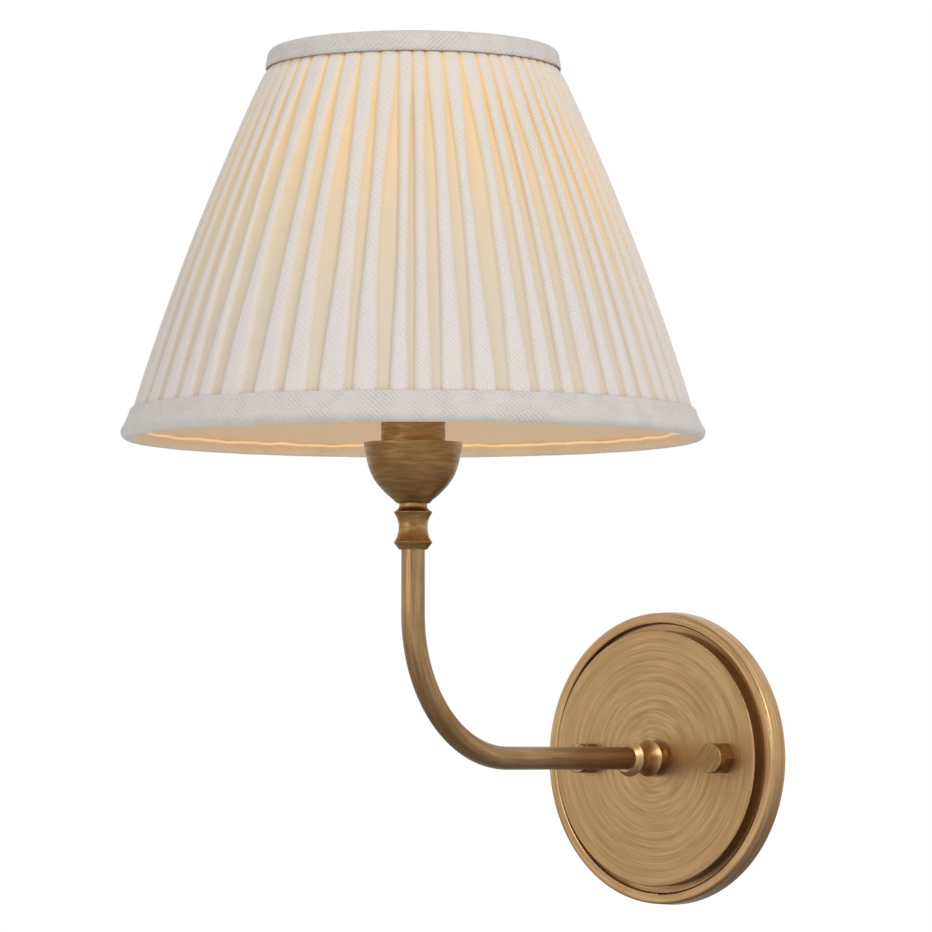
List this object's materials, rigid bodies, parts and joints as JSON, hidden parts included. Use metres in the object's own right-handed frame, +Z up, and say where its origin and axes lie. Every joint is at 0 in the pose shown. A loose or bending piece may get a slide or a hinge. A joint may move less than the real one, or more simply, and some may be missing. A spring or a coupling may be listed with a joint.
{
  "type": "wall light",
  "caption": "Wall light with a round stepped brass backplate, a curved tube arm, a cup and lampholder, and a pleated fabric cone shade lit from within.",
  "frame": {"origin": "centre of the wall bracket's back face, on the wall and on the axis of the arm's horizontal run", "axes": "wall plane is y = 0, the light stands out along -Y, +Z is up, X is level along the wall"},
  "size_m": [0.246, 0.293, 0.3639],
  "materials": {
    "plated_steel": "bright zinc plate",
    "antique_brass": "brushed antique brass, lacquered",
    "block_plastic": "moulded",
    "holder_plastic": "moulded",
    "socket_ceramic": "unglazed",
    "bright_metal": "bright nickel",
    "lead_brown": "insulation",
    "lead_blue": "insulation",
    "black_glass": "vitreous",
    "bulb_glass": "frosted",
    "bulb_core": "diffusing core",
    "white_enamel": "white epoxy",
    "ring_plastic": "moulded",
    "pleat_cloth": "pleated woven cotton, cream",
    "lining_cloth": "smooth lining",
    "trim_cloth": "rolled woven binding, cream"
  },
  "bodies": {
    "fixture": {"wall_bracket": "plated_steel", "bracket_studs": "plated_steel", "stud_locknuts": "plated_steel", "earth_screw": "plated_steel", "earth_washer": "plated_steel", "terminal_block": "block_plastic", "terminal_screws": "plated_steel", "backplate_pan": "antique_brass", "backplate_disc": "antique_brass", "arm_washer": "plated_steel", "arm_locknut": "plated_steel", "wall_spool": "antique_brass", "arm_tube": "antique_brass", "upper_spool": "antique_brass", "cup": "antique_brass", "cup_locknut": "plated_steel", "holder_base": "holder_plastic", "holder_sleeve": "antique_brass", "holder_insert": "socket_ceramic", "screw_shell": "bright_metal", "centre_contact": "bright_metal", "holder_screws": "plated_steel", "live_lead": "lead_brown", "neutral_lead": "lead_blue"},
    "shade": {"shade_washer": "white_enamel", "carrier_struts": "white_enamel", "top_wire": "white_enamel", "bottom_wire": "white_enamel", "pleated_cover": "pleat_cloth", "shade_lining": "lining_cloth", "top_trim": "trim_cloth", "bottom_trim": "trim_cloth"},
    "ring": {"shade_ring": "ring_plastic"},
    "bulb": {"bulb_contact": "bright_metal", "bulb_insulator": "black_glass", "bulb_cap": "bright_metal", "bulb_glass": "bulb_glass", "bulb_stem": "bulb_core"},
    "left_nut": {"cap_nut_left": "antique_brass"},
    "right_nut": {"cap_nut_right": "antique_brass"}
  },
  "joints": [
    {"name": "shade_turn", "type": "hinge", "parent": "fixture", "child": "shade", "pos_m": [0, -0.17, 0.158], "axis": [0, 0, 1], "continuous": true},
    {"name": "ring_unscrew", "type": "slide", "parent": "fixture", "child": "ring", "axis": [0, 0, 1], "range_m": [0, 0.008]},
    {"name": "bulb_unscrew", "type": "slide", "parent": "fixture", "child": "bulb", "axis": [0, 0, 1], "range_m": [0, 0.02]},
    {"name": "left_nut_unscrew", "type": "slide", "parent": "fixture", "child": "left_nut", "axis": [0, -1, 0], "range_m": [0, 0.006]},
    {"name": "right_nut_unscrew", "type": "slide", "parent": "fixture", "child": "right_nut", "axis": [0, -1, 0], "range_m": [0, 0.006]}
  ]
}
